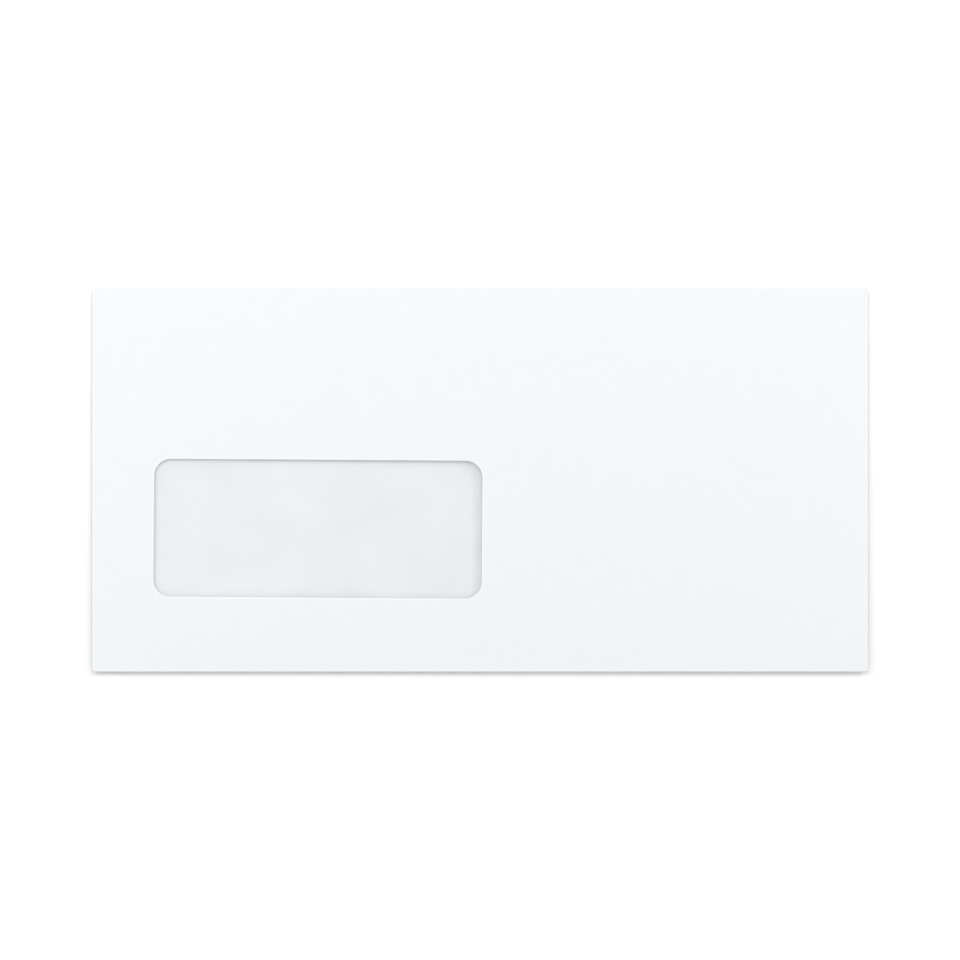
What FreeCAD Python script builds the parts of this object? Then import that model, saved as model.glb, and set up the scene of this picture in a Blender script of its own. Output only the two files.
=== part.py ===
"""A DL window envelope, closed but not stuck, lying on its back with its face up.

X runs along the envelope, +Y towards the top fold, +Z out of the face. The table is at z = 0.
The paper is one die-cut blank with four folds. Each fold is as high as the layers that it goes
round: the side flaps lie straight under the face, the back panel comes round both of them, and
the closing flap comes round the back panel. So the envelope is thicker at its top fold than at
its bottom fold, and everything above the closing flap leans by that small angle.
The stack frame, used below, is the leaning frame: the back panel's outside is its z = 0.
"""

import FreeCAD, Part
import os

import Sketcher
from FreeCAD import Placement, Rotation, Vector

# Driving dimensions in millimetres, and one angle in degrees.
DIMENSIONS = {
    # outside of the folded envelope
    "envelope_width": 220.0,
    "envelope_height": 110.0,
    # paper and the spaces between its layers at the folds
    "paper_thickness": 0.11,
    "pocket_gap": 0.25,
    "flap_gap": 0.15,
    # the face stands proud of its folds: a flat rim, a smooth shoulder, then a level middle
    "puff_height": 0.6,
    "puff_rim": 0.5,
    "puff_shoulder": 10.0,
    # corners of the face panel, where two folds meet
    "top_corner_radius": 1.0,
    "bottom_corner_radius": 0.12,
    # side flaps
    "side_flap_width": 13.0,
    "side_flap_taper": 7.0,
    "side_flap_corner_radius": 3.0,
    # back panel, whose free edge is the throat
    "throat_depth": 15.0,
    "back_panel_taper": 2.0,
    "throat_corner_radius": 6.0,
    # closing flap
    "closing_flap_depth": 38.0,
    "closing_flap_taper": 9.0,
    "closing_flap_corner_radius": 8.0,
    # window, as seen on the face
    "window_width": 93.1,
    "window_height": 39.5,
    "window_left": 17.5,
    "window_bottom": 21.2,
    "window_corner_radius": 4.8,
    "window_skew": 0.4,
    # film and its glue
    "film_thickness": 0.04,
    "film_margin": 1.0,
    "window_glue_setback": 1.0,
    "window_glue_width": 4.0,
    "window_glue_thickness": 0.03,
    # glue in the side seams
    "seam_glue_thickness": 0.04,
    "seam_glue_margin": 1.3,
    # gum on the closing flap
    "gum_width": 12.0,
    "gum_edge_margin": 2.5,
    "gum_thickness": 0.02,
    # how far cutting tools reach past what they cut
    "tool_reach": 1.0,
}

# Sizes that follow from the driving dimensions, as expressions in the stack frame.
PAPER = "dims.paper_thickness"
HALF_WIDTH = "dims.envelope_width / 2"
HALF_HEIGHT = "dims.envelope_height / 2"
STACK = f"(3 * {PAPER} + dims.pocket_gap + dims.seam_glue_thickness)"
SIDE_FOLD_RADIUS = f"({PAPER} + dims.pocket_gap / 2)"
BOTTOM_FOLD_RADIUS = f"({STACK} / 2)"
TOP_FOLD_RADIUS = f"(({STACK} + dims.flap_gap + {PAPER}) / 2)"
SIDE_AXIS_X = f"({HALF_WIDTH} - {SIDE_FOLD_RADIUS})"
BOTTOM_AXIS_Y = f"({BOTTOM_FOLD_RADIUS} - {HALF_HEIGHT})"
TOP_AXIS_Y = f"({HALF_HEIGHT} - {TOP_FOLD_RADIUS})"
BOTTOM_FOLD_END_X = f"({SIDE_AXIS_X} - dims.bottom_corner_radius)"
TOP_FOLD_END_X = f"({SIDE_AXIS_X} - dims.top_corner_radius)"
SIDE_FOLD_LOW_Y = f"({BOTTOM_AXIS_Y} + dims.bottom_corner_radius)"
SIDE_FOLD_HIGH_Y = f"({TOP_AXIS_Y} - dims.top_corner_radius)"
SIDE_FLAP_EDGE_X = f"({HALF_WIDTH} - dims.side_flap_width)"
THROAT_Y = f"({HALF_HEIGHT} - dims.throat_depth)"
CLOSING_FLAP_LENGTH = f"(dims.closing_flap_depth - {TOP_FOLD_RADIUS})"
# The closing flap's outside touches the table, and so does the bottom fold.
LEAN = f"(2 * atan(({TOP_FOLD_RADIUS} - {BOTTOM_FOLD_RADIUS}) / ({TOP_AXIS_Y} - {BOTTOM_AXIS_Y})))"
LIFT = f"({TOP_FOLD_RADIUS} - {TOP_AXIS_Y} * sin({LEAN}) - ({STACK} - {TOP_FOLD_RADIUS}) * cos({LEAN}))"
FACE_UNDERSIDE = f"({STACK} + dims.puff_height - {PAPER})"
FILM_TOP = f"({FACE_UNDERSIDE} - dims.window_glue_thickness)"
TOOL_HEIGHT = f"({STACK} + dims.puff_height + dims.tool_reach)"
WINDOW_X = f"(dims.window_left + dims.window_width / 2 - {HALF_WIDTH})"
WINDOW_Y = f"(dims.window_bottom + dims.window_height / 2 - {HALF_HEIGHT})"

doc = FreeCAD.newDocument("envelope")
dims = doc.addObject("Spreadsheet::Sheet", "dims")
for row, (alias, number) in enumerate(DIMENSIONS.items(), start=1):
    dims.set(f"A{row}", alias.replace("_", " "))
    dims.set(f"B{row}", str(number))
    dims.setAlias(f"B{row}", alias)
doc.recompute()


def value(expression):
    """The number that an expression gives, in millimetres or degrees."""
    result = dims.evalExpression(expression)
    return float(getattr(result, "Value", result))


def sketch_on(body, name, plane, origin=("0", "0", "0"), turn_axis=None, turn=None):
    """A sketch on one of the body's own planes, shifted in the plane's frame and maybe turned."""
    sketch = body.newObject("Sketcher::SketchObject", name)
    support = next(feature for feature in body.Origin.OriginFeatures if feature.Role == plane)
    sketch.AttachmentSupport = [(support, "")]
    sketch.MapMode = "FlatFace"
    if turn:
        sketch.AttachmentOffset = Placement(Vector(), Rotation(turn_axis, value(turn)))
        sketch.setExpression(".AttachmentOffset.Rotation.Angle", turn)
    for axis, expression in zip("xyz", origin):
        sketch.setExpression(f".AttachmentOffset.Base.{axis}", expression)
    return sketch


def draw_outline(sketch, corners):
    """A closed outline of straight edges, with every corner's place bound to the dimensions."""
    points = [Vector(value(x), value(y)) for x, y in corners]
    count = len(points)
    for index in range(count):
        sketch.addGeometry(Part.LineSegment(points[index], points[(index + 1) % count]), False)
    for index in range(count):
        sketch.addConstraint(Sketcher.Constraint("Coincident", index, 2, (index + 1) % count, 1))
    for index, (x, y) in enumerate(corners):
        for kind, expression, at in (("DistanceX", x, points[index].x), ("DistanceY", y, points[index].y)):
            place = sketch.addConstraint(Sketcher.Constraint(kind, -1, 1, index, 1, at))
            sketch.setExpression(f"Constraints[{place}]", expression)


def rectangle(low_x, high_x, low_y, high_y):
    return [(low_x, low_y), (high_x, low_y), (high_x, high_y), (low_x, high_y)]


def centred_rectangle(width, height):
    return rectangle(f"-({width}) / 2", f"({width}) / 2", f"-({height}) / 2", f"({height}) / 2")


def pad(body, sketch, height):
    feature = body.newObject("PartDesign::Pad", f"{sketch.Name}_pad")
    feature.Profile = sketch
    feature.setExpression("Length", height)
    doc.recompute()
    return feature


def bend(body, sketch, angle, backwards=False):
    """The sheet's section, swept round the sketch's own horizontal axis."""
    feature = body.newObject("PartDesign::Revolution", f"{sketch.Name}_bend")
    feature.Profile = sketch
    feature.ReferenceAxis = (sketch, ["H_Axis"])
    feature.Reversed = backwards
    feature.setExpression("Angle", angle)
    doc.recompute()
    return feature


def round_corners(body, radius, outward=None):
    """Rounds the short upright edges of a plate: those furthest along outward, or all of them."""
    base = body.Tip
    corner_places = []
    for number, edge in enumerate(base.Shape.Edges, start=1):
        along = edge.tangentAt(edge.FirstParameter)
        upright = edge.Curve.TypeId == "Part::GeomLine" and abs(along.z) > max(abs(along.x), abs(along.y))
        if upright:
            corner_places.append((edge.CenterOfMass.dot(outward) if outward else 0.0, f"Edge{number}"))
    furthest = max(place for place, name in corner_places)
    feature = body.newObject("PartDesign::Fillet", f"{body.Name}_corners_{len(body.Group)}")
    feature.Base = (base, [name for place, name in corner_places if place > furthest - value(PAPER)])
    feature.setExpression("Radius", radius)
    doc.recompute()
    return feature


def new_body(name):
    return doc.addObject("PartDesign::Body", name)


def lean(piece):
    """Puts a piece of the stack frame where the stack rests on the closing flap."""
    piece.Placement = Placement(Vector(0, 0, value(LIFT)), Rotation(Vector(1, 0, 0), value(LEAN)))
    piece.setExpression(".Placement.Base.z", LIFT)
    piece.setExpression(".Placement.Rotation.Angle", LEAN)


def puffed_sheet(name):
    """A sheet of paper over the whole face panel and a little beyond.

    It rises from the folds to the level middle by 3t^2 - 2t^3, which a surface of degree 3 holds
    exactly. It is made of nine pieces, so that the middle is a true plane.
    """
    rim = value("dims.puff_rim")
    shoulder = value("dims.puff_shoulder")
    reach = value("dims.tool_reach")
    level = value(STACK)
    degree = 3
    multiplicities = [4, 2, 2, 2, 2, 4]
    raised = [0, 0, 0, 0, 1, 1, 1, 1, 0, 0, 0, 0]
    lines = []
    for low, high in ((-value(SIDE_AXIS_X), value(SIDE_AXIS_X)), (value(BOTTOM_AXIS_Y), value(TOP_AXIS_Y))):
        lines.append([low - reach, low + rim, low + rim + shoulder,
                      high - rim - shoulder, high - rim, high + reach])
    places = []
    for line in lines:
        knots = [knot for knot, times in zip(line, multiplicities) for _ in range(times)]
        places.append([sum(knots[index + 1:index + 1 + degree]) / degree for index in range(len(raised))])
    poles = [[Vector(x, y, level + value("dims.puff_height") * x_share * y_share)
              for y, y_share in zip(places[1], raised)] for x, x_share in zip(places[0], raised)]
    surface = Part.BSplineSurface()
    surface.buildFromPolesMultsKnots(
        poles, multiplicities, multiplicities, lines[0], lines[1], False, False, degree, degree)
    slabs = []
    for x_low, x_high in ((0, 2), (2, 3), (3, 5)):
        for y_low, y_high in ((0, 2), (2, 3), (3, 5)):
            patch = surface.copy()
            patch.segment(lines[0][x_low], lines[0][x_high], lines[1][y_low], lines[1][y_high])
            slabs.append(patch.toShape().extrude(Vector(0, 0, -value(PAPER))))
    feature = doc.addObject("Part::Feature", name)
    feature.Shape = slabs[0].multiFuse(slabs[1:])
    return feature


def window_block(name, level, height, growth="0", radius=None):
    """A block in the window's outline, grown on every side, from a level of the stack upwards."""
    body = new_body(name)
    sketch = sketch_on(body, f"{name}_outline", "XY_Plane", (WINDOW_X, WINDOW_Y, level),
                       Vector(0, 0, -1), "dims.window_skew")
    draw_outline(sketch, centred_rectangle(f"dims.window_width + 2 * ({growth})",
                                           f"dims.window_height + 2 * ({growth})"))
    pad(body, sketch, height)
    if radius:
        round_corners(body, radius)
    return body


def boolean(kind, name, base, tool):
    feature = doc.addObject(kind, name)
    feature.Base = base
    feature.Tool = tool
    return feature


def make_face_panel():
    """The front panel between its four folds, with the window opening."""
    outline = new_body("face_outline")
    sketch = sketch_on(outline, "face_plan", "XY_Plane")
    draw_outline(sketch, rectangle(f"-{SIDE_AXIS_X}", SIDE_AXIS_X, BOTTOM_AXIS_Y, TOP_AXIS_Y))
    pad(outline, sketch, TOOL_HEIGHT)
    round_corners(outline, "dims.top_corner_radius", Vector(0, 1, 0))
    round_corners(outline, "dims.bottom_corner_radius", Vector(0, -1, 0))
    opening = window_block("window_opening", "0", TOOL_HEIGHT, radius="dims.window_corner_radius")
    framed = boolean("Part::Cut", "face_with_window", outline, opening)
    return boolean("Part::Common", "face_panel", framed, puffed_sheet("face_sheet"))


def make_side_flap():
    """The right side flap and its fold, close under the face."""
    body = new_body("side_flap")
    section = sketch_on(body, "side_fold", "YZ_Plane", ("0", f"{STACK} - {SIDE_FOLD_RADIUS}", SIDE_AXIS_X))
    draw_outline(section, rectangle(SIDE_FOLD_LOW_Y, SIDE_FOLD_HIGH_Y,
                                    f"{SIDE_FOLD_RADIUS} - {PAPER}", SIDE_FOLD_RADIUS))
    bend(body, section, "180 deg")
    plate = sketch_on(body, "side_plate", "XY_Plane", ("0", "0", f"{STACK} - 2 * {SIDE_FOLD_RADIUS}"))
    draw_outline(plate, [
        (SIDE_AXIS_X, SIDE_FOLD_LOW_Y),
        (SIDE_AXIS_X, SIDE_FOLD_HIGH_Y),
        (SIDE_FLAP_EDGE_X, f"{SIDE_FOLD_HIGH_Y} - dims.side_flap_taper"),
        (SIDE_FLAP_EDGE_X, f"{SIDE_FOLD_LOW_Y} + dims.side_flap_taper"),
    ])
    pad(body, plate, PAPER)
    round_corners(body, "dims.side_flap_corner_radius", Vector(-1, 0, 0))
    return body


def make_back_panel():
    """The back panel and the bottom fold, round the side flaps."""
    body = new_body("back_panel")
    section = sketch_on(body, "bottom_fold", "XZ_Plane", ("0", BOTTOM_FOLD_RADIUS, f"-{BOTTOM_AXIS_Y}"))
    draw_outline(section, rectangle(f"-{BOTTOM_FOLD_END_X}", BOTTOM_FOLD_END_X,
                                    f"{BOTTOM_FOLD_RADIUS} - {PAPER}", BOTTOM_FOLD_RADIUS))
    bend(body, section, "180 deg")
    plate = sketch_on(body, "back_plate", "XY_Plane")
    narrow = f"({BOTTOM_FOLD_END_X} - dims.back_panel_taper)"
    draw_outline(plate, [
        (f"-{BOTTOM_FOLD_END_X}", BOTTOM_AXIS_Y),
        (BOTTOM_FOLD_END_X, BOTTOM_AXIS_Y),
        (narrow, THROAT_Y),
        (f"-{narrow}", THROAT_Y),
    ])
    pad(body, plate, PAPER)
    round_corners(body, "dims.throat_corner_radius", Vector(0, 1, 0))
    return body


def sketch_on_closing_flap(body, name, radius):
    """A sketch on the closing flap's plane, at this distance from the top fold's axis."""
    origin = ("0", f"{TOP_AXIS_Y} - {radius} * sin({LEAN})",
              f"{STACK} - {TOP_FOLD_RADIUS} - {radius} * cos({LEAN})")
    return sketch_on(body, name, "XY_Plane", origin, Vector(-1, 0, 0), LEAN)


def make_closing_flap():
    """The closing flap and the top fold, round everything else."""
    body = new_body("closing_flap")
    section = sketch_on(body, "top_fold", "XZ_Plane",
                        ("0", f"{STACK} - {TOP_FOLD_RADIUS}", f"-{TOP_AXIS_Y}"))
    draw_outline(section, rectangle(f"-{TOP_FOLD_END_X}", TOP_FOLD_END_X,
                                    f"{TOP_FOLD_RADIUS} - {PAPER}", TOP_FOLD_RADIUS))
    bend(body, section, f"180 deg + {LEAN}", backwards=True)
    plate = sketch_on_closing_flap(body, "closing_plate", TOP_FOLD_RADIUS)
    narrow = f"({TOP_FOLD_END_X} - dims.closing_flap_taper)"
    draw_outline(plate, [
        (f"-{TOP_FOLD_END_X}", "0"),
        (TOP_FOLD_END_X, "0"),
        (narrow, f"-{CLOSING_FLAP_LENGTH}"),
        (f"-{narrow}", f"-{CLOSING_FLAP_LENGTH}"),
    ])
    pad(body, plate, PAPER)
    round_corners(body, "dims.closing_flap_corner_radius", Vector(0, -1, 0))
    return body


def make_envelope_sheet():
    """The whole blank, folded: one sheet of paper, so one solid."""
    right_flap = make_side_flap()
    left_flap = doc.addObject("Part::Mirroring", "left_side_flap")
    left_flap.Source = right_flap
    left_flap.Normal = Vector(1, 0, 0)
    sheet = doc.addObject("Part::MultiFuse", "envelope_sheet")
    sheet.Shapes = [make_face_panel(), right_flap, left_flap, make_back_panel(), make_closing_flap()]
    lean(sheet)
    return sheet


def make_window_glue():
    """A frame of glue between the inside of the face and the film."""
    setback = "dims.window_glue_setback"
    width = "dims.window_glue_width"
    thickness = "dims.window_glue_thickness"
    outer = window_block("window_glue_outside", FILM_TOP, thickness, f"{setback} + {width}",
                         f"dims.window_corner_radius + {setback} + {width}")
    inner = window_block("window_glue_inside", "0", TOOL_HEIGHT, setback,
                         f"dims.window_corner_radius + {setback}")
    glue = boolean("Part::Cut", "window_glue", outer, inner)
    lean(glue)
    return glue


def make_window_film():
    """The clear patch, cut square from a roll, glued behind the window."""
    film = window_block("window_film", f"{FILM_TOP} - dims.film_thickness", "dims.film_thickness",
                        "dims.window_glue_setback + dims.window_glue_width + dims.film_margin")
    lean(film)
    return film


def make_seam_glue(name, side):
    """A strip of glue between a side flap and the back panel, inside both outlines."""
    body = new_body(name)
    sketch = sketch_on(body, f"{name}_outline", "XY_Plane", ("0", "0", PAPER))
    inner = f"{side} * ({SIDE_FLAP_EDGE_X} + dims.seam_glue_margin)"
    outer = f"{side} * ({BOTTOM_FOLD_END_X} - dims.back_panel_taper - dims.seam_glue_margin)"
    low = f"{SIDE_FOLD_LOW_Y} + dims.side_flap_taper + dims.seam_glue_margin"
    high = f"{THROAT_Y} - dims.throat_corner_radius - dims.seam_glue_margin"
    draw_outline(sketch, rectangle(inner, outer, low, high))
    pad(body, sketch, "dims.seam_glue_thickness")
    lean(body)
    return body


def make_flap_gum():
    """The dry gum along the free edge of the closing flap, on its inside."""
    body = new_body("flap_gum")
    sketch = sketch_on_closing_flap(body, "gum_outline", f"({TOP_FOLD_RADIUS} - {PAPER})")
    end = f"({TOP_FOLD_END_X} - dims.closing_flap_taper - dims.closing_flap_corner_radius)"
    low = f"dims.gum_edge_margin - {CLOSING_FLAP_LENGTH}"
    draw_outline(sketch, rectangle(f"-{end}", end, low, f"{low} + dims.gum_width"))
    pad(body, sketch, "dims.gum_thickness")
    lean(body)
    return body


pieces = [
    make_envelope_sheet(),
    make_window_film(),
    make_window_glue(),
    make_seam_glue("left_seam_glue", -1),
    make_seam_glue("right_seam_glue", 1),
    make_flap_gum(),
]
doc.recompute()

for item in doc.Objects:
    if "Invalid" in item.State or "Error" in item.State:
        raise RuntimeError(f"{item.Name} did not build: {item.State}")
for piece in pieces:
    piece.Label = piece.Name
    if piece.Shape.isNull() or not piece.Shape.isValid() or len(piece.Shape.Solids) != 1:
        raise RuntimeError(f"{piece.Label} is not one sound solid")

os.makedirs("parts", exist_ok=True)
for piece in pieces:
    piece.Shape.exportStep(f"parts/{piece.Label}.step")
    box = piece.Shape.optimalBoundingBox(False, False)
    print(f"{piece.Label}: {box.XLength:.3f} x {box.YLength:.3f} x {box.ZLength:.3f} mm, "
          f"z from {box.ZMin:.4f}, volume {piece.Shape.Volume:.2f} mm3")
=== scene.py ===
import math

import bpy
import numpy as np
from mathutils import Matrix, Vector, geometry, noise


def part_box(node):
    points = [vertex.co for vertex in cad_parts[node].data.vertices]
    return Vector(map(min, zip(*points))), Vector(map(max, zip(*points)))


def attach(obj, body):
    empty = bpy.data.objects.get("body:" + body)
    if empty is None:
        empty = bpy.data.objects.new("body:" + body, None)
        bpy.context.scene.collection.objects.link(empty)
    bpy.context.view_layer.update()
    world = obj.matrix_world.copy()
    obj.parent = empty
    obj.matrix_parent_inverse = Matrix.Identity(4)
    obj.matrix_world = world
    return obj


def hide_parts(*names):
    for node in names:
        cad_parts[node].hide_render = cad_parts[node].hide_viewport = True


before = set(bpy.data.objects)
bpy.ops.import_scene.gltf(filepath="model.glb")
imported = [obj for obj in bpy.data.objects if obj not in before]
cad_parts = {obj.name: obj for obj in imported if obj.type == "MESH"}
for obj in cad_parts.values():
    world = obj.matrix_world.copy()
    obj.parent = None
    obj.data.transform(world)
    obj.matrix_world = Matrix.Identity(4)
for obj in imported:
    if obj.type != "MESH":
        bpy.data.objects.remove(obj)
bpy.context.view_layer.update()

# A white window envelope, lying on its back on a white surface, seen from above.
# Every piece is drawn flat on the unfolded blank, in millimetres, and then folded with it.
# On the flat blank x and y are those of the face panel. The blank goes on past the four fold
# axes: the side flaps to the left and right, the back panel below and the closing flap above.
# Depth is the distance from the paper's outside towards its inside.

MM = 0.001

# The envelope, read from the frame
sheet_low, sheet_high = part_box("envelope_sheet")
HALF_WIDTH = (sheet_high[0] - sheet_low[0]) / 2 / MM
HALF_HEIGHT = (sheet_high[1] - sheet_low[1]) / 2 / MM

# Paper and the spaces between its layers at the folds
PAPER = 0.11
POCKET_GAP = 0.25
FLAP_GAP = 0.15
SEAM_GLUE = 0.04
STACK = 3 * PAPER + POCKET_GAP + SEAM_GLUE
SIDE_RADIUS = PAPER + POCKET_GAP / 2
BOTTOM_RADIUS = STACK / 2
TOP_RADIUS = (STACK + FLAP_GAP + PAPER) / 2
SIDE_AXIS = HALF_WIDTH - SIDE_RADIUS
BOTTOM_AXIS = HALF_HEIGHT - BOTTOM_RADIUS
TOP_AXIS = HALF_HEIGHT - TOP_RADIUS
LEAN = 2 * math.atan((TOP_RADIUS - BOTTOM_RADIUS) / (TOP_AXIS + BOTTOM_AXIS))
LIFT = TOP_RADIUS - TOP_AXIS * math.sin(LEAN) - (STACK - TOP_RADIUS) * math.cos(LEAN)

# Each fold: the direction across it, its axis from the middle, its outer radius and its turn
FOLDS = (
    ((1, 0), SIDE_AXIS, SIDE_RADIUS, math.pi),
    ((-1, 0), SIDE_AXIS, SIDE_RADIUS, math.pi),
    ((0, -1), BOTTOM_AXIS, BOTTOM_RADIUS, math.pi),
    ((0, 1), TOP_AXIS, TOP_RADIUS, math.pi + LEAN),
)
FOLD_STEPS = 12
SIDE_ARC = math.pi * (SIDE_RADIUS - PAPER / 2)
BOTTOM_ARC = math.pi * (BOTTOM_RADIUS - PAPER / 2)
TOP_ARC = (math.pi + LEAN) * (TOP_RADIUS - PAPER / 2)

# Outlines of the panels
TOP_CORNER = 1.0
BOTTOM_CORNER = 0.12
SIDE_FLAP_REACH = 13.0
SIDE_FLAP_LENGTH = SIDE_FLAP_REACH - SIDE_RADIUS
SIDE_FLAP_TAPER = 7.0
SIDE_FLAP_CORNER = 3.0
THROAT_DEPTH = 15.0
BACK_LENGTH = 2 * HALF_HEIGHT - THROAT_DEPTH - BOTTOM_RADIUS
BACK_TAPER = 2.0
THROAT_CORNER = 6.0
CLOSING_FLAP_REACH = 38.0
CLOSING_FLAP_LENGTH = CLOSING_FLAP_REACH - TOP_RADIUS
CLOSING_FLAP_TAPER = 9.0
CLOSING_FLAP_CORNER = 8.0

# Window, film and glue
WINDOW_CENTRE = (-45.95, -14.05)
WINDOW_SIZE = (93.1, 39.5)
WINDOW_CORNER = 4.8
WINDOW_SKEW = math.radians(-0.4)
DIE_ROLL = 0.04
DIE_ROLL_WIDTH = 0.4
FILM = 0.04
FILM_GROWTH = 6.0
WINDOW_GLUE = 0.03
WINDOW_GLUE_FROM = 1.0
WINDOW_GLUE_TO = 5.0
GUM = 0.02
GUM_WIDTH = 12.0
GUM_MARGIN = 2.5
GUM_CORNER = 3.0
GUM_SWAY = 0.4
SEAM_MARGIN = 1.3
SEAM_CORNER = 2.0
SEAM_SWAY = 0.5
SWAY_LENGTH = 6.0

# How the face stands proud of its folds
PUFF = 0.6
PUFF_RIM = 0.5
PUFF_SHOULDER = 10.0
DOME_SHARE = 0.8
RIPPLE = 0.05
RIPPLE_LENGTH = 38.0
RIPPLE_SEED = 3.0

# Painted highlight: the paper's colour is lightened a little along the folds and, more so, along the
# window's cut edge, where the edges catch the light
FOLD_HIGHLIGHT = 0.15
FOLD_HIGHLIGHT_WIDTH = 1.0
CUT_HIGHLIGHT_WIDTH = 0.5

# The film's own waves, and the pucker near the window's lower right corner
FILM_WAVE = 0.09
FILM_WAVE_LENGTH = 16.0
FILM_WAVE_SEED = 7.0
FILM_SAG = 0.5
FILM_HELD = 5.0
PUCKER_START = (-11.0, -20.5)
PUCKER_END = (-2.0, -28.0)
PUCKER_HEIGHT = 0.07
PUCKER_WIDTH = 1.3
PUCKER_HELD = 2.0

# Distances between the points of each mesh
PAPER_SPACING = 2.0
INNER_SPACING = 2.5
GLUE_SPACING = 1.5
FILM_SPACING = 1.0
NEAR_FOLD = (0.25, 0.5, 0.9, 1.5, 2.3, 3.3, 4.5, 6.0)
PAST_FOLD = 7.7
WINDOW_RINGS = (0.13, 0.26, 0.4, 0.8, 1.6)
SHARP_ANGLE = math.radians(40)

# How far the table lies below the bottom fold, which the springy paper holds a little off it
TABLE_FALL = 0.8
TABLE_HALF = 3.0
TABLE_GREY = 0.45
TABLE_GLOW = 0.065

# Camera, from the outline in the photograph
CAMERA_ELEVATION = math.radians(81.6)
CAMERA_DISTANCE = 1.0
CAMERA_AIM = 0.4 * MM
PICTURE_WIDTH = 272.16 * MM


def smoothstep(t):
    t = np.clip(t, 0.0, 1.0)
    return t * t * (3 - 2 * t)


def smooth_noise(x, y, length, seed):
    """Soft bumps from -1 to 1, about one length across."""
    return np.array([noise.noise(Vector((a / length, b / length, seed))) for a, b in zip(x, y)])


def from_window(x, y):
    """Distance from the window's cut edge, negative inside the window."""
    dx, dy = x - WINDOW_CENTRE[0], y - WINDOW_CENTRE[1]
    along = np.abs(dx * math.cos(WINDOW_SKEW) + dy * math.sin(WINDOW_SKEW))
    across = np.abs(dy * math.cos(WINDOW_SKEW) - dx * math.sin(WINDOW_SKEW))
    past_x = along - WINDOW_SIZE[0] / 2 + WINDOW_CORNER
    past_y = across - WINDOW_SIZE[1] / 2 + WINDOW_CORNER
    outside = np.hypot(np.maximum(past_x, 0), np.maximum(past_y, 0))
    return outside + np.minimum(np.maximum(past_x, past_y), 0) - WINDOW_CORNER


def face_rise(x, y):
    """How far the face stands above its folds: steep shoulders, a broad dome and soft ripples."""
    shoulders = (
        smoothstep((SIDE_AXIS - np.abs(x) - PUFF_RIM) / PUFF_SHOULDER)
        * smoothstep((y + BOTTOM_AXIS - PUFF_RIM) / PUFF_SHOULDER)
        * smoothstep((TOP_AXIS - y - PUFF_RIM) / PUFF_SHOULDER)
    )
    dome = np.clip(1 - (x / SIDE_AXIS) ** 2, 0, 1) * np.clip(1 - (y / TOP_AXIS) ** 2, 0, 1)
    ripples = RIPPLE * shoulders * smooth_noise(x, y, RIPPLE_LENGTH, RIPPLE_SEED)
    return PUFF * ((1 - DOME_SHARE) * shoulders + DOME_SHARE * dome) + ripples


def fold(flat, depth, rise=face_rise):
    """Places of points of the flat blank, at a depth in the paper, once everything is folded."""
    depth = np.broadcast_to(depth, len(flat))
    place = np.column_stack((flat, STACK - depth))
    on_face = np.ones(len(flat), bool)
    for direction, axis, radius, turn in FOLDS:
        past = flat @ np.array(direction) - axis
        bent = past > 0
        on_face &= ~bent
        middle = radius - PAPER / 2
        turned = np.minimum(past[bent] / middle, turn)
        run = past[bent] - turned * middle
        lever = radius - depth[bent]
        reach = lever * np.sin(turned) + run * np.cos(turned)
        height = lever * np.cos(turned) - run * np.sin(turned)
        line = 0 if direction[0] else 1
        place[bent, line] = direction[line] * (axis + reach)
        place[bent, 2] = STACK - radius + height
    place[on_face, 2] += rise(flat[on_face, 0], flat[on_face, 1])
    x, y, z = place.T
    leaned = (x, y * math.cos(LEAN) - z * math.sin(LEAN), y * math.sin(LEAN) + z * math.cos(LEAN) + LIFT)
    return np.column_stack(leaned) * MM


def rounded(corners, steps=8):
    """A closed outline through corners given as (x, y, radius)."""
    outline = []
    count = len(corners)
    for index, (x, y, radius) in enumerate(corners):
        here = Vector((x, y))
        if radius == 0:
            outline.append(here)
            continue
        before = (Vector(corners[index - 1][:2]) - here).normalized()
        after = (Vector(corners[(index + 1) % count][:2]) - here).normalized()
        half = before.angle(after) / 2
        centre = here + (before + after).normalized() * radius / math.sin(half)
        first = here + before * radius / math.tan(half) - centre
        sweep = first.angle_signed(here + after * radius / math.tan(half) - centre)
        outline += [centre + rotated(first, -sweep * step / steps) for step in range(steps + 1)]
    return [p for i, p in enumerate(outline) if (p - outline[i - 1]).length > 1e-4]


def rotated(vector, angle):
    cosine, sine = math.cos(angle), math.sin(angle)
    return Vector((vector.x * cosine - vector.y * sine, vector.x * sine + vector.y * cosine))


def split(outline, spacing):
    """The same closed outline, with its long edges divided."""
    points = []
    for index, start in enumerate(outline):
        end = outline[(index + 1) % len(outline)]
        parts = max(1, round((end - start).length / spacing))
        points += [start.lerp(end, part / parts) for part in range(parts)]
    return points


def inside(points, outline):
    """Which points lie inside a closed outline."""
    x, y = points.T
    result = np.zeros(len(points), bool)
    for index, end in enumerate(outline):
        start = outline[index - 1]
        if start.y != end.y:
            crosses = (start.y > y) != (end.y > y)
            at = start.x + (y - start.y) * (end.x - start.x) / (end.y - start.y)
            result ^= crosses & (x < at)
    return result


def clearance(points, outline):
    """Each point's distance from a closed outline."""
    nearest = np.full(len(points), np.inf)
    for index, end in enumerate(outline):
        start = np.array(outline[index - 1])
        edge = np.array(end) - start
        share = np.clip((points - start) @ edge / (edge @ edge), 0, 1)
        nearest = np.minimum(nearest, np.linalg.norm(points - start - share[:, None] * edge, axis=1))
    return nearest


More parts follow.
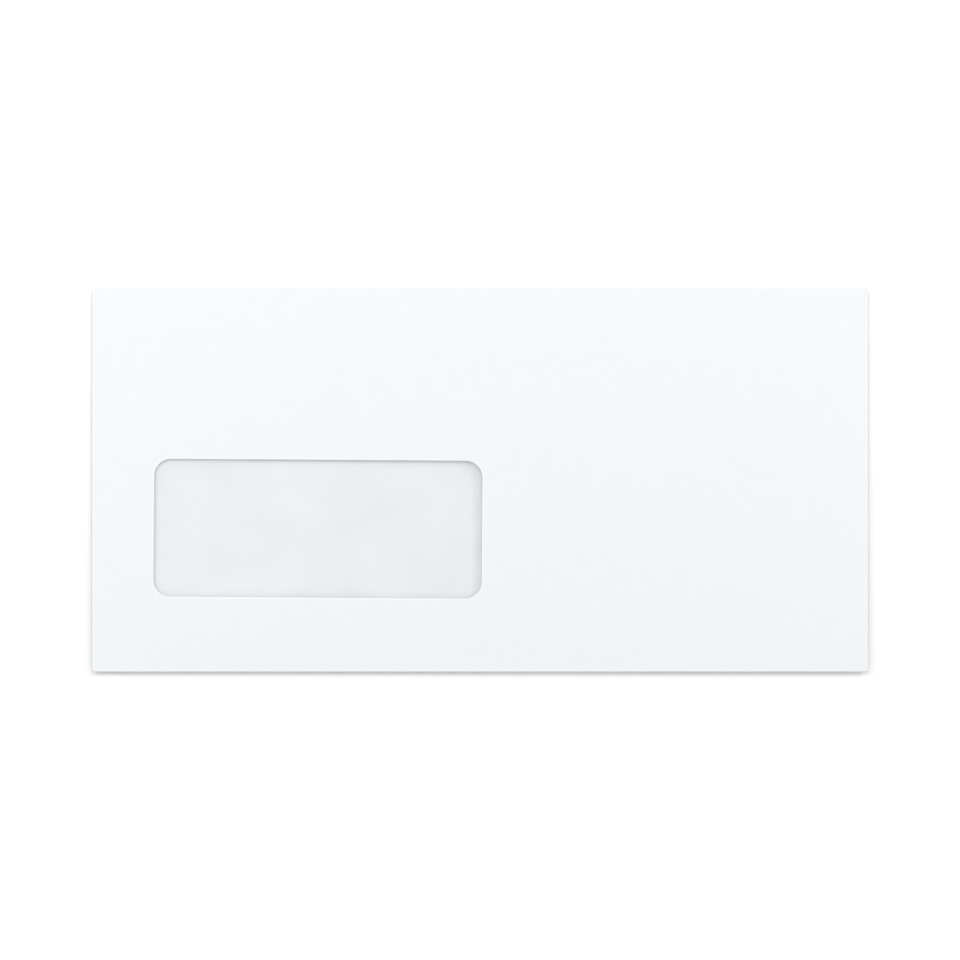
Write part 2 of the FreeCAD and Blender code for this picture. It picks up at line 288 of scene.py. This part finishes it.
def fill(outline, holes=(), rows=(), grid=(), spacing=PAPER_SPACING):
    """Flat points and triangles that fill an outline, apart from its holes.

    The triangles follow the rows, which are straight lines, and pass through the grid's points.
    """
    loops = [split(outline, spacing)] + [split(hole, spacing / 2) for hole in holes]
    points, edges = [], []
    for loop in loops:
        first = len(points)
        points += loop
        edges += [(first + i, first + (i + 1) % len(loop)) for i in range(len(loop))]
    for start, end in rows:
        start, end = Vector(start), Vector(end)
        parts = round((end - start).length / spacing)
        first = len(points)
        points += [start.lerp(end, part / parts) for part in range(parts + 1)]
        edges += [(first + i, first + i + 1) for i in range(parts)]
    grid = np.array(grid)
    keep = inside(grid, outline) & (clearance(grid, outline) > spacing / 5)
    for hole in holes:
        keep &= ~inside(grid, hole) & (clearance(grid, hole) > spacing / 20)
    points += [Vector(point) for point in grid[keep]]
    flat, _, triangles, *_ = geometry.delaunay_2d_cdt(points, edges, [], 0, 1e-5)
    flat, triangles = np.array(flat), np.array(triangles)
    middles = flat[triangles].mean(axis=1)
    keep = inside(middles, outline)
    for hole in holes:
        keep &= ~inside(middles, hole)
    return flat, triangles[keep]


def grid_points(x_lines, y_lines):
    return [(x, y) for x in x_lines for y in y_lines]


def graded(low, high):
    """Lines between two folds, closer together towards both."""
    parts = round((high - low - 2 * PAST_FOLD) / PAPER_SPACING)
    middle = np.linspace(low + PAST_FOLD, high - PAST_FOLD, parts + 1)
    return [low + near for near in NEAR_FOLD] + list(middle) + [high - near for near in NEAR_FOLD]


def sheet_object(name, filled, top, bottom, highlight=None):
    """A thin closed solid: the filled outline placed at two depths, joined round its rims.

    The painted highlight, where it is given, says how much each point of the flat blank is lightened, from 0
    to 1.
    """
    flat, triangles = filled
    corners = flat[triangles]
    side_a, side_b = corners[:, 1] - corners[:, 0], corners[:, 2] - corners[:, 0]
    clockwise = side_a[:, 0] * side_b[:, 1] - side_a[:, 1] * side_b[:, 0] < 0
    triangles = np.where(clockwise[:, None], triangles[:, ::-1], triangles)
    used, triangles = np.unique(triangles, return_inverse=True)
    triangles = triangles.reshape(-1, 3)
    flat, count = flat[used], len(used)
    faces = [tuple(t) for t in triangles.tolist()]
    directed = {(a, b) for t in faces for a, b in (t[:2], t[1:], (t[2], t[0]))}
    rims = [(a, b) for a, b in directed if (b, a) not in directed]
    faces += [(c + count, b + count, a + count) for a, b, c in triangles.tolist()]
    faces += [(a, a + count, b + count, b) for a, b in sorted(rims)]
    mesh = bpy.data.meshes.new(name)
    mesh.from_pydata(np.vstack((top(flat), bottom(flat))).tolist(), [], faces)
    # Stores the painted highlight on the points, for the material to lighten the colour with
    if highlight:
        attribute = mesh.attributes.new("highlight", "FLOAT", "POINT")
        attribute.data.foreach_set("value", np.tile(highlight(flat), 2))
    mesh.validate()
    mesh.shade_smooth()
    mesh.set_sharp_from_angle(angle=SHARP_ANGLE)
    piece = bpy.data.objects.new(name, mesh)
    bpy.context.scene.collection.objects.link(piece)
    return piece


def layer(name, filled, from_depth, to_depth, rise=face_rise):
    return sheet_object(
        name,
        filled,
        lambda flat: fold(flat, from_depth, rise),
        lambda flat: fold(flat, to_depth, rise),
    )


def paper_outside(flat):
    """The paper's outside, rounded down along the window's edge, where the die pressed on it."""
    near = np.clip(1 - from_window(*flat.T) / DIE_ROLL_WIDTH, 0, 1)
    return fold(flat, DIE_ROLL * near ** 2)


def paper_painted_highlight(flat):
    """How much painted highlight the paper gets: most at the window's cut edge, and a little along the
    folds.
    """
    highlight = smoothstep(1 - from_window(*flat.T) / CUT_HIGHLIGHT_WIDTH)
    for direction, axis, radius, turn in FOLDS:
        half_arc = turn * (radius - PAPER / 2) / 2
        away = np.abs(flat @ np.array(direction) - axis - half_arc) - half_arc
        highlight = np.maximum(highlight, FOLD_HIGHLIGHT * smoothstep(1 - away / FOLD_HIGHLIGHT_WIDTH))
    return highlight


def dress(piece, node, material):
    """Puts a new piece in the place of a node."""
    piece.data.materials.append(material)
    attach(piece, "root")
    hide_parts(node)


def window_outline(growth, corner):
    """The window's outline on the blank, grown on every side."""
    half_x, half_y = WINDOW_SIZE[0] / 2 + growth, WINDOW_SIZE[1] / 2 + growth
    corners = [(-half_x, -half_y), (half_x, -half_y), (half_x, half_y), (-half_x, half_y)]
    turned = [rotated(Vector(p), WINDOW_SKEW) + Vector(WINDOW_CENTRE) for p in corners]
    return rounded([(p.x, p.y, corner) for p in turned])


def blank_outline():
    """The die-cut blank: right-hand corners from the back panel's edge up, then mirrored."""
    side_edge = SIDE_AXIS + SIDE_ARC + SIDE_FLAP_LENGTH
    side_low, side_high = BOTTOM_CORNER - BOTTOM_AXIS, TOP_AXIS - TOP_CORNER
    bottom_end, top_end = SIDE_AXIS - BOTTOM_CORNER, SIDE_AXIS - TOP_CORNER
    back_edge = -BOTTOM_AXIS - BOTTOM_ARC - BACK_LENGTH
    flap_edge = TOP_AXIS + TOP_ARC + CLOSING_FLAP_LENGTH
    right = [
        (bottom_end - BACK_TAPER, back_edge, THROAT_CORNER),
        (bottom_end, -BOTTOM_AXIS - BOTTOM_ARC, 0),
        (bottom_end, -BOTTOM_AXIS, 0),
        (SIDE_AXIS, -BOTTOM_AXIS, BOTTOM_CORNER),
        (SIDE_AXIS, side_low, 0),
        (SIDE_AXIS + SIDE_ARC, side_low, 0),
        (side_edge, side_low + SIDE_FLAP_TAPER, SIDE_FLAP_CORNER),
        (side_edge, side_high - SIDE_FLAP_TAPER, SIDE_FLAP_CORNER),
        (SIDE_AXIS + SIDE_ARC, side_high, 0),
        (SIDE_AXIS, side_high, 0),
        (SIDE_AXIS, TOP_AXIS, TOP_CORNER),
        (top_end, TOP_AXIS, 0),
        (top_end, TOP_AXIS + TOP_ARC, 0),
        (top_end - CLOSING_FLAP_TAPER, flap_edge, CLOSING_FLAP_CORNER),
    ]
    return rounded(right + [(-x, y, radius) for x, y, radius in reversed(right)])


def fold_rows():
    """Lines along each fold, for its steps."""
    side_low, side_high = BOTTOM_CORNER - BOTTOM_AXIS, TOP_AXIS - TOP_CORNER
    bottom_end, top_end = SIDE_AXIS - BOTTOM_CORNER, SIDE_AXIS - TOP_CORNER
    rows = []
    for step in range(FOLD_STEPS + 1):
        share = step / FOLD_STEPS
        side = SIDE_AXIS + SIDE_ARC * share
        bottom = -BOTTOM_AXIS - BOTTOM_ARC * share
        top = TOP_AXIS + TOP_ARC * share
        rows.append(((side, side_low), (side, side_high)))
        rows.append(((-side, side_low), (-side, side_high)))
        rows.append(((-bottom_end, bottom), (bottom_end, bottom)))
        rows.append(((-top_end, top), (top_end, top)))
    return rows


def make_paper(material):
    """The whole envelope but its film, glue and gum: one sheet, cut and folded."""
    grid = grid_points(graded(-SIDE_AXIS, SIDE_AXIS), graded(-BOTTOM_AXIS, TOP_AXIS))
    for ring in WINDOW_RINGS:
        grid += [tuple(p) for p in split(window_outline(ring, WINDOW_CORNER + ring), 1.0)]
    across = np.arange(-HALF_WIDTH, HALF_WIDTH, INNER_SPACING)
    along = np.arange(-BOTTOM_AXIS, TOP_AXIS, INNER_SPACING)
    back_start = -BOTTOM_AXIS - BOTTOM_ARC
    flap_start = TOP_AXIS + TOP_ARC
    side_start = SIDE_AXIS + SIDE_ARC + 1.0
    grid += grid_points(across, np.arange(back_start - BACK_LENGTH, back_start - 0.5, INNER_SPACING))
    grid += grid_points(across, np.arange(flap_start + 1.0, flap_start + CLOSING_FLAP_LENGTH, INNER_SPACING))
    for side in (-1, 1):
        side_flap = side * np.arange(side_start, side_start + SIDE_FLAP_LENGTH, INNER_SPACING)
        grid += grid_points(side_flap, along)
    filled = fill(blank_outline(), [window_outline(0, WINDOW_CORNER)], fold_rows(), grid)
    blank = sheet_object(
        "folded_blank",
        filled,
        paper_outside,
        lambda flat: fold(flat, PAPER),
        paper_painted_highlight,
    )
    dress(blank, "envelope_sheet", material)


def film_rise(x, y):
    """The film follows the face where it is glued, and waves and puckers across the window."""
    free = smoothstep(-from_window(x, y) / FILM_HELD)
    waves = FILM_WAVE * free * (smooth_noise(x, y, FILM_WAVE_LENGTH, FILM_WAVE_SEED) - FILM_SAG)
    start, end = np.array(PUCKER_START), np.array(PUCKER_END)
    line = (end - start) / np.linalg.norm(end - start)
    along = (np.column_stack((x, y)) - start) @ line / np.linalg.norm(end - start)
    across = (np.column_stack((x, y)) - start) @ np.array((-line[1], line[0]))
    ends = smoothstep(along + 0.5) * smoothstep(1.6 - along)
    free = smoothstep(-from_window(x, y) / PUCKER_HELD)
    pucker = PUCKER_HEIGHT * np.exp(-((across / PUCKER_WIDTH) ** 2)) * ends * free
    return face_rise(x, y) + waves + pucker


def around_window(growth, spacing):
    half_x, half_y = WINDOW_SIZE[0] / 2 + growth, WINDOW_SIZE[1] / 2 + growth
    return grid_points(
        WINDOW_CENTRE[0] + np.linspace(-half_x, half_x, round(2 * half_x / spacing)),
        WINDOW_CENTRE[1] + np.linspace(-half_y, half_y, round(2 * half_y / spacing)),
    )


def make_film(material):
    grid = around_window(FILM_GROWTH, FILM_SPACING)
    filled = fill(window_outline(FILM_GROWTH, 0), grid=grid, spacing=FILM_SPACING)
    top = PAPER + WINDOW_GLUE
    dress(layer("clear_film", filled, top, top + FILM, film_rise), "window_film", material)


def make_window_glue(material):
    filled = fill(
        window_outline(WINDOW_GLUE_TO, WINDOW_CORNER + WINDOW_GLUE_TO),
        [window_outline(WINDOW_GLUE_FROM, WINDOW_CORNER + WINDOW_GLUE_FROM)],
        grid=around_window(WINDOW_GLUE_TO, GLUE_SPACING),
        spacing=GLUE_SPACING,
    )
    dress(layer("film_glue", filled, PAPER, PAPER + WINDOW_GLUE), "window_glue", material)


def uneven_strip(x_low, x_high, y_low, y_high, corner, sway, seed):
    """A long strip laid by a nozzle or a roller: round corners, and edges that sway a little."""
    loop = split(rounded([(x_low, y_low, corner), (x_high, y_low, corner),
                          (x_high, y_high, corner), (x_low, y_high, corner)]), GLUE_SPACING)
    middle = Vector(((x_low + x_high) / 2, (y_low + y_high) / 2))
    swayed = []
    for point in loop:
        place = Vector((point.x / SWAY_LENGTH, point.y / SWAY_LENGTH, seed))
        pull = sway * (0.5 + 0.5 * noise.noise(place))
        across = point - middle
        if y_high - y_low > x_high - x_low:
            shift = Vector((math.copysign(pull, across.x), 0))
        else:
            shift = Vector((0, math.copysign(pull, across.y)))
        swayed.append(point - shift)
    return swayed


def strip_grid(x_low, x_high, y_low, y_high):
    return grid_points(np.arange(x_low, x_high, GLUE_SPACING), np.arange(y_low, y_high, GLUE_SPACING))


def make_seam_glue(side, node, material):
    """Glue on the inside of the back panel, where it lies on a side flap."""
    inner = HALF_WIDTH - SIDE_FLAP_REACH + SEAM_MARGIN
    outer = SIDE_AXIS - BOTTOM_CORNER - BACK_TAPER - SEAM_MARGIN
    low = SIDE_FLAP_TAPER + SEAM_MARGIN + BOTTOM_CORNER
    high = BACK_LENGTH - THROAT_CORNER - SEAM_MARGIN
    start = -BOTTOM_AXIS - BOTTOM_ARC
    x_low, x_high = sorted((side * inner, side * outer))
    y_low, y_high = start - high, start - low
    outline = uneven_strip(x_low, x_high, y_low, y_high, SEAM_CORNER, SEAM_SWAY, 5.0 + side)
    filled = fill(outline, grid=strip_grid(x_low, x_high, y_low, y_high), spacing=GLUE_SPACING)
    dress(layer(node + "_line", filled, PAPER, PAPER + SEAM_GLUE), node, material)


def make_gum(material):
    """The dry gum on the inside of the closing flap."""
    end = SIDE_AXIS - TOP_CORNER - CLOSING_FLAP_TAPER - CLOSING_FLAP_CORNER
    high = TOP_AXIS + TOP_ARC + CLOSING_FLAP_LENGTH - GUM_MARGIN
    low = high - GUM_WIDTH
    outline = uneven_strip(-end, end, low, high, GUM_CORNER, GUM_SWAY, 2.0)
    filled = fill(outline, grid=strip_grid(-end, end, low, high), spacing=GLUE_SPACING)
    dress(layer("gum_strip", filled, PAPER, PAPER + GUM), "flap_gum", material)


def new_material(name):
    """A material with one Principled surface, and the coordinates that its textures use."""
    material = bpy.data.materials.new(name)
    material.use_nodes = True
    nodes = material.node_tree.nodes
    surface = nodes["Principled BSDF"]
    coordinates = nodes.new("ShaderNodeTexCoord").outputs["Object"]
    return material, surface, coordinates


def add_noise(material, coordinates, scale, detail, distortion=0.0, stretch=(1, 1, 1)):
    """Noise of a scale in cells per metre, maybe stretched. Gives its factor."""
    nodes, links = material.node_tree.nodes, material.node_tree.links
    mapping = nodes.new("ShaderNodeMapping")
    mapping.inputs["Scale"].default_value = stretch
    links.new(coordinates, mapping.inputs["Vector"])
    texture = nodes.new("ShaderNodeTexNoise")
    texture.inputs["Scale"].default_value = scale
    texture.inputs["Detail"].default_value = detail
    texture.inputs["Distortion"].default_value = distortion
    links.new(mapping.outputs["Vector"], texture.inputs["Vector"])
    return texture.outputs["Fac"]


def add_range(material, factor, low, high, low_from=0.3, high_from=0.7):
    """A factor, spread from low to high."""
    spread = material.node_tree.nodes.new("ShaderNodeMapRange")
    numbers = (("From Min", low_from), ("From Max", high_from), ("To Min", low), ("To Max", high))
    for name, number in numbers:
        spread.inputs[name].default_value = number
    material.node_tree.links.new(factor, spread.inputs["Value"])
    return spread.outputs["Result"]


def add_colours(material, factor, low_colour, high_colour):
    """A colour between two, by a factor. Each is three numbers or a node's output."""
    blend = material.node_tree.nodes.new("ShaderNodeMix")
    blend.data_type = "RGBA"
    for name, colour in (("A", low_colour), ("B", high_colour)):
        if isinstance(colour, tuple):
            blend.inputs[name].default_value = (*colour, 1)
        else:
            material.node_tree.links.new(colour, blend.inputs[name])
    material.node_tree.links.new(factor, blend.inputs["Factor"])
    return blend.outputs["Result"]


def add_bump(material, height, depth, before=None):
    """Relief of a depth in metres, on top of another relief if there is one."""
    bump = material.node_tree.nodes.new("ShaderNodeBump")
    bump.inputs["Strength"].default_value = 1.0
    bump.inputs["Distance"].default_value = depth
    material.node_tree.links.new(height, bump.inputs["Height"])
    if before:
        material.node_tree.links.new(before, bump.inputs["Normal"])
    return bump.outputs["Normal"]


def paper_material():
    """Bright white uncoated paper: cloudy formation, fine fibres, a dull surface, and a painted highlight
    along its folds and the window's cut edge.
    """
    material, surface, coordinates = new_material("white_paper")
    links = material.node_tree.links
    clouds = add_noise(material, coordinates, 260, 3)
    fibres = add_noise(material, coordinates, 3800, 4, distortion=1.2)
    cloudy = add_range(material, clouds, 0.0, 1.0)
    colour = add_colours(material, cloudy, (0.893, 0.914, 0.930), (0.903, 0.923, 0.939))
    # Painted highlight: the colour goes towards near white where the mesh's highlight attribute is high
    highlight_attribute = material.node_tree.nodes.new("ShaderNodeAttribute")
    highlight_attribute.attribute_name = "highlight"
    colour = add_colours(material, highlight_attribute.outputs["Fac"], colour, (0.99, 0.99, 0.99))
    links.new(colour, surface.inputs["Base Color"])
    links.new(add_range(material, fibres, 0.70, 0.88), surface.inputs["Roughness"])
    surface.inputs["Specular IOR Level"].default_value = 0.3
    relief = add_bump(material, clouds, 6e-6)
    links.new(add_bump(material, fibres, 3e-6, relief), surface.inputs["Normal"])
    return material


def film_material():
    """Clear polystyrene film: glossy, a little hazy, and not quite flat."""
    material, surface, coordinates = new_material("clear_film")
    links = material.node_tree.links
    waves = add_noise(material, coordinates, 90, 2)
    haze = add_noise(material, coordinates, 75, 2, distortion=0.6, stretch=(0.6, 1, 1))
    scuffs = add_noise(material, coordinates, 700, 3)
    hazy = add_range(material, haze, 0.0, 1.0)
    colour = add_colours(material, hazy, (0.84, 0.835, 0.86), (0.95, 0.95, 0.965))
    links.new(colour, surface.inputs["Base Color"])
    links.new(add_range(material, scuffs, 0.08, 0.2), surface.inputs["Roughness"])
    surface.inputs["IOR"].default_value = 1.57
    surface.inputs["Alpha"].default_value = 0.12
    links.new(add_bump(material, waves, 4e-5), surface.inputs["Normal"])
    return material


def glue_material():
    """Dried white dispersion glue: satin, with small pits."""
    material, surface, coordinates = new_material("dried_glue")
    links = material.node_tree.links
    pits = add_noise(material, coordinates, 900, 3)
    colour = add_colours(material, pits, (0.85, 0.85, 0.81), (0.91, 0.91, 0.88))
    links.new(colour, surface.inputs["Base Color"])
    links.new(add_range(material, pits, 0.35, 0.55), surface.inputs["Roughness"])
    links.new(add_bump(material, pits, 1e-5), surface.inputs["Normal"])
    return material


def gum_material():
    """Dry gum: a thin glossy coat with streaks along the flap."""
    material, surface, coordinates = new_material("dry_gum")
    links = material.node_tree.links
    streaks = add_noise(material, coordinates, 500, 3, stretch=(0.08, 1, 1))
    colour = add_colours(material, streaks, (0.82, 0.82, 0.74), (0.88, 0.88, 0.82))
    links.new(colour, surface.inputs["Base Color"])
    links.new(add_range(material, streaks, 0.12, 0.3), surface.inputs["Roughness"])
    surface.inputs["Coat Weight"].default_value = 0.4
    links.new(add_bump(material, streaks, 8e-6), surface.inputs["Normal"])
    return material


def make_floor():
    """A white table, level past the top fold and falling a little under the envelope.

    Seen straight on or mirrored it is white, but for the shadow on it. Light that bounces off it
    finds it grey, so that the shadow close to the paper stays as dark as on a large table.
    """
    level_from = HALF_HEIGHT * MM
    slope = TABLE_FALL / (2 * HALF_HEIGHT)
    rows = [(-TABLE_HALF, -slope * (TABLE_HALF + level_from)), (level_from, 0), (TABLE_HALF, 0)]
    mesh = bpy.data.meshes.new("table_top")
    corners = [(x, y, z) for y, z in rows for x in (-TABLE_HALF, TABLE_HALF)]
    mesh.from_pydata(corners, [], [(0, 1, 3, 2), (2, 3, 5, 4)])
    floor = bpy.data.objects.new("table_top", mesh)
    bpy.context.scene.collection.objects.link(floor)
    material, surface, _ = new_material("white_table")
    nodes, links = material.node_tree.nodes, material.node_tree.links
    surface.inputs["Roughness"].default_value = 0.9
    surface.inputs["Specular IOR Level"].default_value = 0.0
    surface.inputs["Emission Color"].default_value = (1, 1, 1, 1)
    path = nodes.new("ShaderNodeLightPath")
    seen = path.outputs["Is Camera Ray"]
    for kind in ("Is Glossy Ray", "Is Transmission Ray"):
        either = nodes.new("ShaderNodeMath")
        either.operation = "MAXIMUM"
        links.new(seen, either.inputs[0])
        links.new(path.outputs[kind], either.inputs[1])
        seen = either.outputs[0]
    grey = (TABLE_GREY, TABLE_GREY, TABLE_GREY)
    links.new(add_colours(material, seen, grey, (1, 1, 1)), surface.inputs["Base Color"])
    links.new(add_range(material, seen, 0.0, TABLE_GLOW, 0.0, 1.0), surface.inputs["Emission Strength"])
    mesh.materials.append(material)


def make_lamp(name, azimuth, elevation, distance, size, level):
    """A square softbox aimed at the envelope.

    Azimuth 0 is the side of the bottom fold, and 90 the right-hand side. Level is the share of
    white that it gives a level surface.
    """
    azimuth, elevation = math.radians(azimuth), math.radians(elevation)
    lamp = bpy.data.lights.new(name, "AREA")
    lamp.shape = "SQUARE"
    lamp.size = size
    lamp.energy = level * math.pi ** 2 * distance ** 2 / math.sin(elevation)
    holder = bpy.data.objects.new(name, lamp)
    bpy.context.scene.collection.objects.link(holder)
    away = Vector((math.sin(azimuth) * math.cos(elevation), -math.cos(azimuth) * math.cos(elevation),
                   math.sin(elevation)))
    holder.location = away * distance
    holder.rotation_mode = "QUATERNION"
    holder.rotation_quaternion = (-away).to_track_quat("-Z", "Y")


def make_world(level):
    """Even light all round, and plain white where the camera sees it."""
    world = bpy.data.worlds.new("soft_room")
    world.use_nodes = True
    nodes, links = world.node_tree.nodes, world.node_tree.links
    background = nodes["Background"]
    background.inputs["Color"].default_value = (1, 1, 1, 1)
    path = nodes.new("ShaderNodeLightPath")
    strength = add_range(world, path.outputs["Is Camera Ray"], level, 1.0, 0.0, 1.0)
    links.new(strength, background.inputs["Strength"])
    bpy.context.scene.world = world


def make_camera():
    """Looks down on the face, a little from the bottom fold's side."""
    camera = bpy.data.cameras.new("camera")
    camera.type = "ORTHO"
    camera.ortho_scale = PICTURE_WIDTH
    holder = bpy.data.objects.new("camera", camera)
    bpy.context.scene.collection.objects.link(holder)
    away = Vector((0, -math.cos(CAMERA_ELEVATION), math.sin(CAMERA_ELEVATION)))
    target = Vector((0, 0, CAMERA_AIM))
    holder.location = target + away * CAMERA_DISTANCE
    holder.rotation_mode = "QUATERNION"
    holder.rotation_quaternion = (-away).to_track_quat("-Z", "Y")
    bpy.context.scene.camera = holder


make_camera()
bpy.context.scene.view_settings.view_transform = "Standard"
make_floor()
make_world(0.755)
make_lamp("top_fill", azimuth=180, elevation=50, distance=0.45, size=0.14, level=0.075)
make_lamp("right_fill", azimuth=105, elevation=22, distance=0.65, size=0.05, level=0.08)
make_lamp("left_fill", azimuth=-105, elevation=35, distance=0.6, size=0.08, level=0.1)

glue = glue_material()
make_paper(paper_material())
make_film(film_material())
make_window_glue(glue)
make_seam_glue(-1, "left_seam_glue", glue)
make_seam_glue(1, "right_seam_glue", glue)
make_gum(gum_material())
